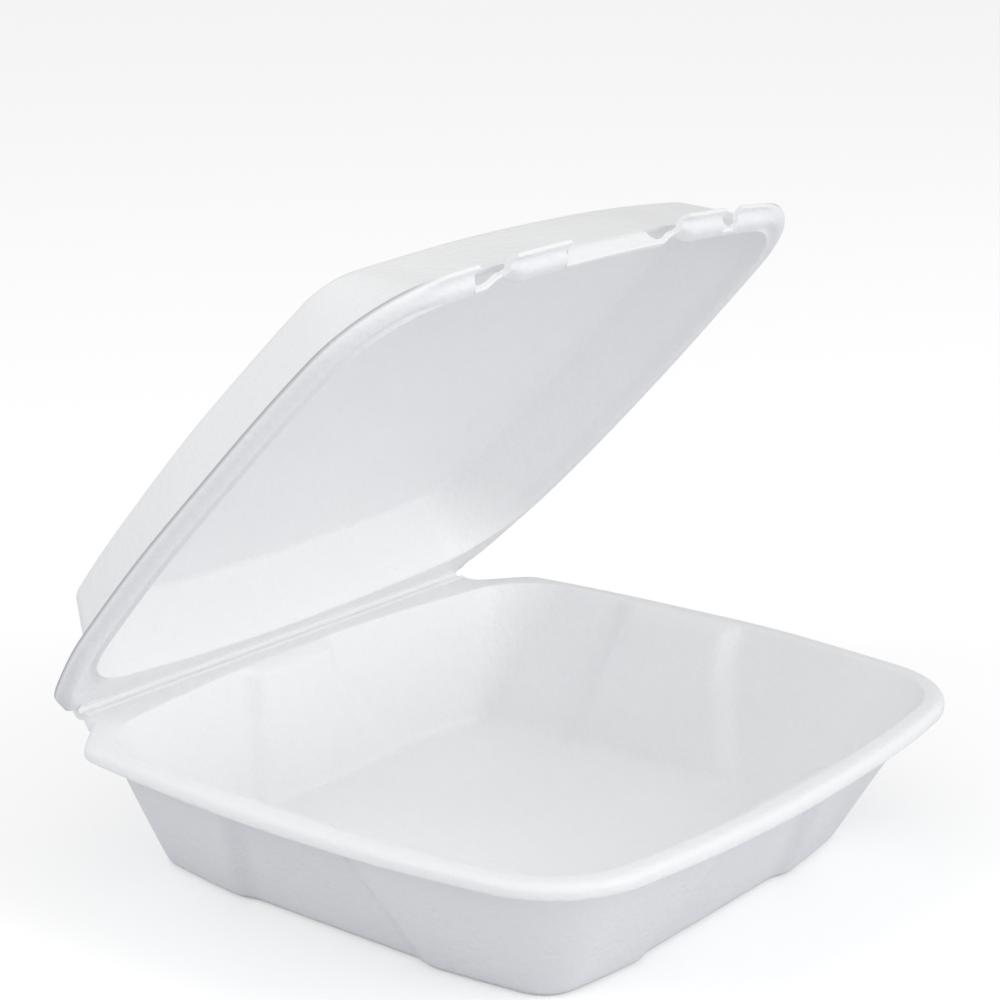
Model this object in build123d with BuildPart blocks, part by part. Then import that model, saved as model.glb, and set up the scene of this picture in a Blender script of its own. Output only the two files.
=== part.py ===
"""Foam clamshell food container: one moulded foam sheet, creased at its hinge into a tray and a lid.

Millimetres, +Z up. The origin is the middle of the tray's underside. The hinge is at the back (+Y)
and the lock at the front (-Y). The lid is drawn in closed coordinates on a frame that is turned about
the hinge line into the open pose of the photograph.
"""
from build123d import *
from math import cos, radians, sin, sqrt
import os

# Foam
foam = 2.4                   # thickness of walls, floor and roof
pressed = 1.6                # thickness where the flanges are pressed thin
web = 1.2                    # thickness of the hinge web
clearance = 0.3              # gap between the lid and the tray, at the crease and between the flanges

# Rim and flange of the tray
rim_half = 114.3             # from the middle to the rim's edge, at the sides and the front
rim_bow = 510.0              # radius of the gently bowed sides of the rim
rim_corner = 36.0            # radius of the rim's corners seen from above
rim_edge_z = 46.2            # height of the drooping edge
flange_top_z = 49.0          # height of the flat top
flange_run = 4.2             # how far the droop reaches in from the edge
overhang = 5.3               # how far the edge stands out over the wall
rim_round = 3.0              # rounding where the flat top starts to droop
cut_edge_round = 0.5         # rounding of the cut edge underneath
rim_inner_round = 1.5        # rounding from the flange into the tray

# Walls of the tray
wall_lean = radians(30)      # lean of the side and front walls, for the thickness of the foam
foot_half = 83.0             # from the middle to the bowed sides of the foot
foot_bow = 420.0
foot_corner = 13.0
foot_round = 4.0             # rounding under the foot
floor_round = 7.0            # rounding between floor and walls inside
wall_top_bow = 500.0
wall_top_corner = 33.0

# Panel pressed inward in the middle of each wall
panel_foot_inset = 3.6       # depth at the foot
panel_top_inset = 4.6        # depth under the ledge
panel_foot_flat = 32.5       # half width of its flat at the foot
panel_top_flat = 15.0        # half width of its flat under the ledge
step_run = 8.5               # width of the soft step at each side of it
ledge_z = 38.0               # where it ends, outside
ledge_rise = 3.2             # height of the sloping ledge above it
ledge_lift = 1.6             # the ledge lies this much higher inside, so the foam keeps its thickness

# Hinge
hinge_y = 96.5               # line the lid turns about
hinge_z = 46.2
hinge_end = 23.3             # the web ends this far in from the rim's edge
ridge_run = 2.6              # slope from the tray's flange down to the crease
back_inset = 2.1             # walls and flanges stop this far short of the hinge line
open_angle = 46.0            # lid above its closed pose, as photographed

# Lid
roof_rise = 30.0             # roof above the hinge line when closed
lip_rise = 7.7               # curled edge of the lid's flange above the hinge line
shoulder_rise = 9.0          # top of the steep shoulder above the hinge line
lid_step = 1.0               # the lid's wall starts this far inside the tray's
shoulder_run = 1.4           # how far the shoulder leans in
roof_half = 93.0
roof_front = 89.8
roof_back = 85.8
roof_bow = 440.0
roof_corner = 15.0
roof_round = 3.5
roof_inner_round = 5.0
curl_round = 4.0             # rounding where the flange starts to curl up
lid_inner_round = 2.6        # rounding from the flange into the lid

# Lock: two tabs left standing in the lid's front flange, two slots under the tray's flange
lock_x = 39.5                # middle of each tab and slot
tab_width = 24.0
slot_width = 31.0
slot_height = 3.9
slot_drop = 1.4              # top of the slot below the rim's edge
hole_width = 11.5            # die-cut hole in the lid's wall at the left of each tab
hole_behind = 6.0            # how far it runs on behind the tab
hole_height = 3.9
hole_rise = 1.6              # underside of the hole above the flange
hole_round = 1.2
left_gap = 13.0              # bare wall between the left-hand tab and the flange
notch_width = 7.0            # bare wall between the right-hand tab and the flange

# Back corners of the flanges, from the side to the end of the web
rim_beyond = 17.8            # the rim is drawn on this far past the hinge line and then cut
tray_corner = 25.8           # where the tray's corner starts, in front of the hinge line
tray_corner_end = 7.5
tray_corner_out = 1.0        # its end stands this far out past the web
tray_corner_round = 8.0
lid_corner = 36.0
lid_corner_turn = 10.5       # where the lid's corner turns towards the web
lid_corner_turn_out = 14.5
lid_corner_end = 2.2
lid_corner_out = 4.0
lid_corner_round = 12.0

# Sizes that follow from the others
hinge_half = rim_half - hinge_end        # half length of the web
lean = foam / cos(wall_lean)             # thickness of a leaning wall measured level
wall_top_half = rim_half - overhang
lid_base_half = wall_top_half - lid_step
shoulder_half = lid_base_half - shoulder_run
flange_back = hinge_y - back_inset
rim_back = hinge_y + rim_beyond
crease = clearance / 2                   # each half of the web ends this far from the hinge line
lid_z = flange_top_z + clearance         # underside of the lid's flange when closed
lip_z = hinge_z + lip_rise
shoulder_z = hinge_z + shoulder_rise
roof_z = hinge_z + roof_rise
tray_corner_line = [(rim_half, hinge_y - tray_corner),
                    (hinge_half + tray_corner_out, hinge_y - tray_corner_end)]
lid_corner_line = [(rim_half, hinge_y - lid_corner),
                   (hinge_half + lid_corner_turn_out, hinge_y - lid_corner_turn),
                   (hinge_half + lid_corner_out, hinge_y - lid_corner_end)]

# Frame of the lid: closed coordinates turned about the hinge line
lid_up = Vector(0, sin(radians(open_angle)), cos(radians(open_angle)))
lid_back = Vector(0, cos(radians(open_angle)), -sin(radians(open_angle)))
hinge_point = Vector(0, hinge_y, hinge_z)
lid_frame = Plane(origin=hinge_point - lid_back * hinge_y - lid_up * hinge_z, x_dir=(1, 0, 0), z_dir=lid_up)


def bowed_point(normal, distance, bow, t):
    """Point of a bowed side, t along it from its middle."""
    u = distance - bow + sqrt(bow * bow - t * t)
    return Vector(normal[0] * u - normal[1] * t, normal[1] * u + normal[0] * t)


def corner_arc(side, next_side, distance, next_distance, bow, radius):
    """Start, middle and end of the arc that rounds the corner between two bowed sides."""
    first = Vector(*side) * (distance - bow)
    second = Vector(*next_side) * (next_distance - bow)
    apart = second - first
    outward = Vector(*side) + Vector(*next_side)
    square = Vector(-apart.Y, apart.X).normalized()
    if square.dot(outward) < 0:
        square = square * -1
    rise = sqrt((bow - radius) ** 2 - (apart.length / 2) ** 2)
    centre = first + apart * 0.5 + square * rise
    start = first + (centre - first).normalized() * bow
    end = second + (centre - second).normalized() * bow
    return start, centre + (start + end - centre * 2).normalized() * radius, end


def bowed_outline(plane, half, front, back, bow, corner, back_corner=None, panel=None):
    """Closed outline of four bowed sides with round corners.

    panel is (half width of the flat, width of the step, depth): the middle of each side is then
    a straight line set in by the depth, joined to the bow by a soft step at both ends.
    """
    sides = [(1, 0), (0, 1), (-1, 0), (0, -1)]
    reach = [half, back, half, front]
    radii = [back_corner or corner] * 2 + [corner] * 2
    corners = [
        corner_arc(sides[k], sides[(k + 1) % 4], reach[k], reach[(k + 1) % 4], bow, radii[k])
        for k in range(4)
    ]
    with BuildSketch(plane) as sketch:
        with BuildLine():
            for k, side in enumerate(sides):
                out = Vector(*side)
                along = Vector(-side[1], side[0])
                start, end = corners[k - 1][2], corners[k][0]
                t_start, t_end = start.dot(along), end.dot(along)
                if panel is None:
                    ThreePointArc(start, bowed_point(side, reach[k], bow, (t_start + t_end) / 2), end)
                else:
                    flat, run, depth = panel
                    edge = flat + run
                    step_in = bowed_point(side, reach[k], bow, -edge)
                    step_out = bowed_point(side, reach[k], bow, edge)
                    flat_start = out * (reach[k] - depth) - along * flat
                    flat_end = out * (reach[k] - depth) + along * flat
                    pull = along * (run * 0.45)
                    lift = out * (run * 0.45 * edge / bow)
                    ThreePointArc(start, bowed_point(side, reach[k], bow, (t_start - edge) / 2), step_in)
                    Bezier(step_in, step_in + pull + lift, flat_start - pull, flat_start)
                    Line(flat_start, flat_end)
                    Bezier(flat_end, flat_end + pull, step_out - pull + lift, step_out)
                    ThreePointArc(step_out, bowed_point(side, reach[k], bow, (t_end + edge) / 2), end)
                ThreePointArc(*corners[k])
        make_face()
    return sketch.sketch


def flange_outline(plane, edge, back, corner_line, corner_round):
    """Rim seen from above, drawn in by edge, ended square at the hinge and cut along its back corners."""
    inward = edge * 0.8
    line = [(x - inward, y - inward) for x, y in corner_line]
    beyond = rim_half + rim_corner
    right = [(beyond, -beyond), (beyond, line[0][1]), *line, (line[-1][0], back)]
    with BuildSketch(plane) as sketch:
        add(bowed_outline(Plane.XY, rim_half - edge, rim_half - edge, rim_back - edge,
                          rim_bow - edge, rim_corner - edge, back_corner=rim_corner / 3))
        with BuildSketch(mode=Mode.INTERSECT):
            with BuildLine():
                Polyline(*right, *[(-x, y) for x, y in reversed(right)], close=True)
            make_face()
        turns = sketch.vertices().filter_by(lambda v: line[0][1] - corner_round < v.Y < line[-1][1] - 1)
        fillet(turns, radius=corner_round)
    return sketch.sketch


def tray_rim(z, edge, back=flange_back):
    return flange_outline(Plane.XY.offset(z), edge, back, tray_corner_line, tray_corner_round)


def lid_rim(z, edge, back=flange_back):
    return flange_outline(lid_frame.offset(z), edge, back, lid_corner_line, lid_corner_round)


def level_edges(part, frame, z):
    """Edges of the part that lie level in the frame at height z, short of the hinge."""
    def lies_there(edge):
        middle = frame.to_local_coords(edge.center())
        ends = [frame.to_local_coords(v.center()) for v in edge.vertices()]
        return all(abs(p.Z - z) < 0.01 for p in (middle, *ends)) and middle.Y < flange_back - 0.1
    return part.edges().filter_by(lies_there)


def tray_section(z, panelled, inside=0.0):
    """Level section of the tray's wall; inside draws it in by the foam."""
    up = z / rim_edge_z
    half = foot_half + (wall_top_half - foot_half) * up - inside
    back = foot_half + (flange_back - foot_half) * up - inside
    bow = foot_bow + (wall_top_bow - foot_bow) * up - inside
    corner = foot_corner + (wall_top_corner - foot_corner) * up - inside
    share = min(z / ledge_z, 1)
    flat = panel_foot_flat + (panel_top_flat - panel_foot_flat) * share
    if panelled:
        depth = panel_foot_inset + (panel_top_inset - panel_foot_inset) * share
    else:
        depth = flat * flat / (2 * bow)
    return bowed_outline(Plane.XY.offset(z), half, half, back, bow, corner, panel=(flat, step_run, depth))


def lid_section(z, inside=0.0):
    """Section of the lid's wall at height z of the closed pose; inside draws it in by the foam."""
    low = min((z - flange_top_z) / (shoulder_z - flange_top_z), 1)
    high = max((z - shoulder_z) / (roof_z - shoulder_z), 0)
    leant = shoulder_run * low + inside
    half = lid_base_half - leant - (shoulder_half - roof_half) * high
    front = lid_base_half - leant - (shoulder_half - roof_front) * high
    back = flange_back - leant - (flange_back - shoulder_run - roof_back) * high
    bow = wall_top_bow - inside - (wall_top_bow - roof_bow) * high
    corner = wall_top_corner - inside - (wall_top_corner - roof_corner) * high
    return bowed_outline(lid_frame.offset(z), half, front, back, bow, corner)


def across(frame, x):
    """Plane square to X: its first direction runs back along the frame, its second up."""
    return Plane(origin=frame.from_local_coords((x, 0, 0)), x_dir=frame.y_dir, z_dir=frame.x_dir)


def facing(frame, y):
    """Plane that faces the front: its first direction runs right, its second up."""
    return Plane(origin=frame.from_local_coords((0, y, 0)), x_dir=frame.x_dir, z_dir=frame.y_dir * -1)


# Hollow of the tray, with its rounded floor
with BuildPart() as tray_hollow:
    loft([tray_section(foam, True, lean), tray_section(ledge_z + ledge_lift, True, lean),
          tray_section(ledge_z + ledge_lift + ledge_rise, False, lean),
          tray_section(flange_top_z + foam, False, lean)], ruled=True)
    fillet(tray_hollow.edges().group_by(Axis.Z)[0], radius=floor_round)

with BuildPart() as tray:
    # Flange: a plate with a drooping edge, hollow underneath
    extrude(tray_rim(rim_edge_z - pressed, 0), amount=pressed)
    loft([tray_rim(rim_edge_z, 0), tray_rim(flange_top_z, flange_run)], ruled=True)
    fillet(level_edges(tray, Plane.XY, flange_top_z), radius=rim_round)
    fillet(level_edges(tray, Plane.XY, rim_edge_z - pressed), radius=cut_edge_round)
    loft([tray_rim(rim_edge_z - pressed, pressed, hinge_y),
          tray_rim(flange_top_z - pressed * 1.2, flange_run + 1, hinge_y)], ruled=True, mode=Mode.SUBTRACT)
    # The tray's half of the hinge web: a ridge that falls to the crease
    with BuildSketch(across(Plane.XY, -hinge_half)):
        with BuildLine():
            tip = hinge_y - crease
            Polyline((tip - 2 * ridge_run, flange_top_z), (tip - ridge_run, flange_top_z), (tip, hinge_z + web),
                     (tip, hinge_z + crease), (tip - 2 * ridge_run, hinge_z + crease), close=True)
        make_face()
    extrude(amount=2 * hinge_half)
    # Walls with their panels and ledges, up to just under the flange's top
    loft([tray_section(0, True), tray_section(ledge_z, True), tray_section(ledge_z + ledge_rise, False),
          tray_section(rim_edge_z, False), tray_section(flange_top_z - pressed / 2, False)], ruled=True)
    fillet(tray.edges().group_by(Axis.Z)[0], radius=foot_round)
    add(tray_hollow.part, mode=Mode.SUBTRACT)
    fillet(tray.faces().sort_by(Axis.Z)[-1].inner_wires()[0].edges(), radius=rim_inner_round)
    # Slots that take the lid's tabs
    with BuildSketch(facing(Plane.XY, -rim_half)):
        with Locations((-lock_x, rim_edge_z - slot_drop - slot_height / 2),
                       (lock_x, rim_edge_z - slot_drop - slot_height / 2)):
            SlotOverall(slot_width, slot_height)
    extrude(amount=-(overhang + 4 * foam), mode=Mode.SUBTRACT)

tray.part.label = "tray"

# Hollow of the lid
with BuildPart() as lid_hollow:
    loft([lid_section(flange_top_z - 1, lean), lid_section(shoulder_z - foam / 2, lean),
          lid_section(roof_z - foam, lean)], ruled=True)
    fillet(lid_hollow.faces().sort_by(Axis(hinge_point, lid_up))[-1].edges(), radius=roof_inner_round)

with BuildPart() as lid:
    # Flange: a plate that curls up to its edge, hollow on top
    loft([lid_rim(lid_z, flange_run), lid_rim(lip_z, 0)], ruled=True)
    fillet(level_edges(lid, lid_frame, lid_z), radius=curl_round)
    loft([lid_rim(lid_z + pressed * 1.2, flange_run + 1, hinge_y), lid_rim(lip_z + 0.1, pressed, hinge_y)],
         ruled=True, mode=Mode.SUBTRACT)
    # Walls with their shoulder, and the roof
    loft([lid_section(lid_z), lid_section(shoulder_z), lid_section(roof_z)], ruled=True)
    fillet(lid.faces().sort_by(Axis(hinge_point, lid_up))[-1].edges(), radius=roof_round)
    add(lid_hollow.part, mode=Mode.SUBTRACT)
    fillet(lid.faces().sort_by(Axis(hinge_point, lid_up))[0].inner_wires()[0].edges(), radius=lid_inner_round)
    # The flange is die-cut away at the front, which leaves two tabs of it standing
    with BuildSketch(lid_frame.offset(lid_z - clearance)):
        tab_left, tab_right = lock_x - tab_width / 2, lock_x + tab_width / 2
        for left, right in ((-tab_right - left_gap, -tab_right), (-tab_left, tab_left),
                            (tab_right, tab_right + notch_width)):
            with Locations(((left + right) / 2, -rim_half)):
                Rectangle(right - left, 2 * rim_corner)
        add(lid_section(lid_z).moved(lid_frame.offset(lid_z).location.inverse()), mode=Mode.SUBTRACT)
    extrude(amount=lip_z - lid_z + 2 * clearance, mode=Mode.SUBTRACT)
    # The lid's half of the hinge web hangs from its flange behind the tray's ridge
    with BuildSketch(across(lid_frame, -hinge_half)):
        with BuildLine():
            face = hinge_y + crease
            root = flange_back - web / 2
            Polyline((face, hinge_z + crease), (face + web, hinge_z + crease), (face + web, lid_z + pressed),
                     (root, lid_z + pressed), (root, lid_z), (face, lid_z), close=True)
        make_face()
    extrude(amount=2 * hinge_half)
    # Die-cut holes at the left of the tabs and on behind them
    with BuildSketch(facing(lid_frame, -lid_base_half - clearance)):
        middle = (hole_behind - hole_width - tab_width) / 2
        with Locations((-lock_x + middle, lid_z + hole_rise + hole_height / 2),
                       (lock_x + middle, lid_z + hole_rise + hole_height / 2)):
            RectangleRounded(hole_width + hole_behind, hole_height, radius=hole_round)
    extrude(amount=-(overhang + 2 * foam), mode=Mode.SUBTRACT)

lid.part.label = "lid"

if __name__ == "__main__":
    os.makedirs("parts", exist_ok=True)
    export_step(tray.part, "parts/tray.step")
    export_step(lid.part, "parts/lid.step")
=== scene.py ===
"""Finish of a foam clamshell container: pebbled white foam, its creased hinge web, and a pale studio."""

import bpy
import numpy as np
from bpy.props import FloatProperty, FloatVectorProperty, PointerProperty
from mathutils import Matrix, Vector


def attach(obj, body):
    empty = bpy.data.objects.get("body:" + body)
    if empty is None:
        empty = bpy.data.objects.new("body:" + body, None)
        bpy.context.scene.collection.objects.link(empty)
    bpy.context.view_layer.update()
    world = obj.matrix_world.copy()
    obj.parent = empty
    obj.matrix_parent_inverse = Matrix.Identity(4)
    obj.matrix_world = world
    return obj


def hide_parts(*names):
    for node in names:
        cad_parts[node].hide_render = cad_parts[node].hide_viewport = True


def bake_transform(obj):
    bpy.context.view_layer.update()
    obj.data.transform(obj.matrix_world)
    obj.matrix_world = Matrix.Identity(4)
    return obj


bl_info = {
    "name": "Foam clamshell container",
    "version": (1, 0, 0),
    "blender": (4, 5, 0),
    "location": "3D View > Sidebar > Clamshell",
    "description": "Dresses the packed clamshell frame with moulded foam and sets the studio",
    "category": "Object",
}

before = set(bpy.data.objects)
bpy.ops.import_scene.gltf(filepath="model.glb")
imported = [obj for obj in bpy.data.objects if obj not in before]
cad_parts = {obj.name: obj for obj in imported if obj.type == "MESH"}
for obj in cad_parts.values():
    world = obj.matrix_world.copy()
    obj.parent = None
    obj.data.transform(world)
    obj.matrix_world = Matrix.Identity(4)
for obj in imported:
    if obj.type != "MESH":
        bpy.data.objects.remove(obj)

# Sizes of the moulding in millimetres. The lid is drawn closed and then turned open about the hinge.
FOAM = 2.4
LEAN = 2.771                                  # thickness of a leaning wall measured level
OPEN_ANGLE = np.radians(46.0)

# Rim's outline, then the flange: its top, the drop of its edge and its compressed thickness
RIM_HALF, RIM_BOW, RIM_CORNER = 114.3, 510.0, 36.0
FLANGE_TOP, EDGE_DROP, PRESSED = 49.0, 2.8, 1.6
ROOT = PRESSED * 1.2                          # height of the flange where it leaves the wall
HINGE_Y, HINGE_Z, FLANGE_BACK, HINGE_HALF = 96.5, 46.2, 94.4, 91.0
FADE_RUN = 3.0                                # length over which droop and curl fade out at the hinge

# Tray's wall: each size at the foot, and what it gains from there up to WALL_TOP
WALL_TOP = 46.2
TRAY_SIDE, TRAY_BACK, TRAY_BOW, TRAY_CORNER = (83.0, 26.0), (83.0, 6.0), (420.0, 80.0), (13.0, 20.0)
REAR_SHARE = (0.5, 0.33)                      # radius of the rear corners as a share of the front ones
FLOOR_ROUND, FOOT_ROUND = (4.09, 3.56), (2.34, 2.04)    # how far in and how far up each rounding runs
RIM_ROUND = (0.88, 0.77)                      # how far out and how far down the rounding over the rim runs

# Pressed panels: the ledge above them, its rise, and how much higher it stands inside the tray. The depth
# has its value at the foot and what it gains up to the ledge. For each side, the panel's reach from the
# middle to its two ends stands at the foot and at the ledge.
LEDGE_Z, LEDGE_RISE, LEDGE_LIFT = 38.0, 3.2, 8.2
PANEL_DEPTH, PANEL_RUN = (3.6, 1.0), 8.5
PANELS = (((28.5, 10.5), (33.0, 26.0)), ((32.5, 6.0), (28.0, 23.5)), ((32.6, 16.5), (30.0, 19.0)),
          ((35.5, 20.0), (30.0, 15.0)))

# Lid's wall at the flange, what it draws in up to the shoulder, and from the shoulder up to the roof
LID_Z, SHOULDER_Z, ROOF_Z = 49.3, 55.2, 76.2
LID_SIDE, LID_BACK, LID_BOW, LID_CORNER = 108.0, 89.4, 500.0, 33.0
SHOULDER_IN = 1.4
ROOF_IN_SIDE, ROOF_IN_FRONT, ROOF_IN_BACK, ROOF_IN_BOW, ROOF_IN_CORNER = 13.6, 16.8, 3.4, 60.0, 18.0
ROOF_ROUND, CEILING_ROUND = (1.94, 1.65), (2.77, 2.35)  # how far in and how far down each rounding runs
FRONT_ROUND, SIDE_EXTRA = 1.6, 2.6            # rounding inside the lip: at the front, and what the sides add

# Lock: the slots in the tray's front wall, and the holes, gaps and tabs of the lid's front
SLOT_Z, SLOT_LOW, SLOT_HIGH, SLOT_SEAM = 42.85, 40.4, 45.4, 0.25
SLOTS = ((-55.0, -24.0), (24.0, 55.0))
HOLES = ((-63.0, -45.5), (16.0, 33.5))
HOLE_HIGH, HOLE_ROUND, STRIP_LIFT = 56.4, 1.2, 2.4
GAPS = ((-64.5, -51.5), (-27.5, 27.5), (51.5, 58.5))

# Cuts across the flange's back corners, as places beside and behind the middle
TRAY_CUTS = ((RIM_HALF, 70.7), (92.0, 89.0))
LID_CUTS = ((RIM_HALF, 55.0), (106.6, 76.0), (103.0, 86.5), (97.0, 93.5), (92.0, 96.0))

# Tray's rim, row by row: distance from the edge, share of the drop, and depth of foam below the top
TRAY_RIM = np.array([
    (5.1, 0.0, 0.0), (4.2, 0.006, 0.0), (3.3, 0.022, 0.0), (2.5, 0.05, 0.0), (1.85, 0.095, 0.0),
    (1.3, 0.17, 0.0), (0.85, 0.285, 0.0), (0.5, 0.43, 0.0), (0.22, 0.61, 0.0), (0.05, 0.82, 0.05),
    (0.0, 1.0, 0.35), (0.0, 1.0, 1.2), (0.12, 1.0, 1.5), (0.45, 1.0, 1.6), (1.6, 0.85, 1.62),
    (3.2, 0.35, 1.76), (5.2, 0.0, 1.92)])

# Lid's lip, row by row: distance from the edge and height above the underside at the sides, the same in
# the middle of the front, where the lip flares, and the height that is left where it fades at the hinge
LID_LIP = np.array([
    (5.2, 1.92, 5.2, 1.92, 1.92), (4.2, 1.86, 4.7, 2.25, 1.8), (3.2, 2.05, 4.25, 2.95, 1.7),
    (2.3, 2.42, 3.7, 3.65, 1.65), (1.5, 2.95, 2.8, 4.12, 1.6), (0.9, 3.6, 1.6, 4.33, 1.6),
    (0.5, 4.3, 0.5, 4.5, 1.6), (0.3, 4.5, 0.2, 4.52, 1.5), (0.08, 4.42, 0.04, 4.35, 1.3),
    (0.0, 4.1, 0.0, 4.05, 1.0), (0.0, 3.1, 0.02, 3.35, 0.4), (0.1, 2.6, 0.2, 3.15, 0.1),
    (0.5, 1.95, 0.8, 3.08, 0.0), (1.0, 1.4, 1.6, 2.95, 0.0), (1.8, 0.9, 2.3, 2.62, 0.0),
    (2.7, 0.5, 2.85, 2.0, 0.0), (3.7, 0.23, 3.3, 1.25, 0.0), (4.8, 0.06, 4.0, 0.5, 0.0),
    (5.9, 0.0, 5.2, 0.06, 0.0)])
PAINTED_SHADE_ROWS = (8, 10)                            # rows of the lip that get the painted shade at the cut edge

# Groove inside the lip, row by row: how far outside the wall's inner foot it lies at the sides and at the
# front, and its height
GROOVE = ((-2.2, -1.6, 0.95), (-1.95, -1.55, 0.8), (-1.35, -1.5, 0.22), (-0.95, -1.45, 0.0))

# Directions of the right-hand, rear, left-hand and front sides, and the numbers of the last two
SIDES = np.array([(1.0, 0.0), (0.0, 1.0), (-1.0, 0.0), (0.0, -1.0)])
LEFT, FRONT = 2, 3

# Camera at the photograph's place, in metres and radians, and the floor's half width
CAMERA_PLACE = (-0.57167, -0.45450, 0.31935)
CAMERA_YAW, CAMERA_PITCH, CAMERA_ROLL = 0.9004, 0.2946, 0.0018
CAMERA_LENS, CAMERA_SENSOR, CAMERA_SHIFT = 89.67, 36.0, (-0.011, 0.0514)
FLOOR_REACH = 6.0


class FoamSettings(bpy.types.PropertyGroup):
    """Colour and grain of the foam."""

    colour: FloatVectorProperty(
        name="Colour", description="Base colour of the foam", default=(0.965, 0.97, 0.979), size=3,
        subtype="COLOR", min=0.0, max=1.0)
    # Painted shade: dark grey painted along the lid's cut edge in place of the shadow in the gutter between
    # lip and wall
    painted_shade: FloatVectorProperty(
        name="Painted edge shade", description="Colour of the pressed foam at the lid's cut edge",
        default=(0.50, 0.51, 0.54), size=3, subtype="COLOR", min=0.0, max=1.0)
    roughness: FloatProperty(
        name="Roughness", description="Roughness of the foam's skin", default=0.36, subtype="FACTOR",
        min=0.0, max=1.0)


class MouldingSettings(bpy.types.PropertyGroup):
    """Small sizes that differ from one container to the next."""

    unevenness: FloatProperty(
        name="Unevenness", description="Height of the slow waves in the moulding", default=0.00016,
        unit="LENGTH", precision=5, min=0.0)
    bend: FloatProperty(
        name="Bend", description="Rise of the corners at the lid's free edge", default=0.0012,
        unit="LENGTH", precision=5, min=0.0)
    slot_opening: FloatProperty(
        name="Slot opening", description="How far each lip of a slot stands from the slot's middle",
        default=0.0016, unit="LENGTH", precision=5, min=0.0)


class StudioSettings(bpy.types.PropertyGroup):
    """Floor, lights and camera."""

    floor: FloatVectorProperty(
        name="Floor", description="Colour of the floor", default=(0.98, 0.98, 0.98), size=3,
        subtype="COLOR", min=0.0, max=1.0)
    bounce: FloatVectorProperty(
        name="Bounce", description="Colour of the light that the floor throws back",
        default=(0.66, 0.67, 0.705), size=3, subtype="COLOR", min=0.0, max=1.0)
    glow: FloatProperty(
        name="Glow", description="Light that the floor adds for the camera alone", default=0.19,
        min=0.0, max=1.0)
    horizon: FloatProperty(
        name="Horizon", description="Strength of the sky at the horizon", default=0.87, min=0.0, max=5.0)
    overhead: FloatProperty(
        name="Overhead", description="Strength of the sky overhead", default=0.74, min=0.0, max=5.0)
    dim: FloatProperty(
        name="Dim side", description="Share of the sky's light that is left behind the right-hand side",
        default=0.55, subtype="FACTOR", min=0.0, max=1.0)
    key: FloatProperty(
        name="Key light", description="Power of the soft key light", default=6.0, unit="POWER", min=0.0)
    front_light: FloatProperty(
        name="Front light", description="Power of the low light in front", default=4.5, unit="POWER",
        min=0.0)
    side_light: FloatProperty(
        name="Side light", description="Power of the light behind the left-hand side", default=4.5,
        unit="POWER", min=0.0)


def ease(share):
    """Smooth step from 0 to 1: three times the square less twice the cube of the share."""
    share = np.clip(share, 0.0, 1.0)
    return share * share * (3.0 - 2.0 * share)


def soft_min(first, second, width):
    """Smaller of two values, rounded where they are nearly the same."""
    near = np.maximum(width - np.abs(first - second), 0.0) / width
    return np.minimum(first, second) - near * near * width / 4.0


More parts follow.
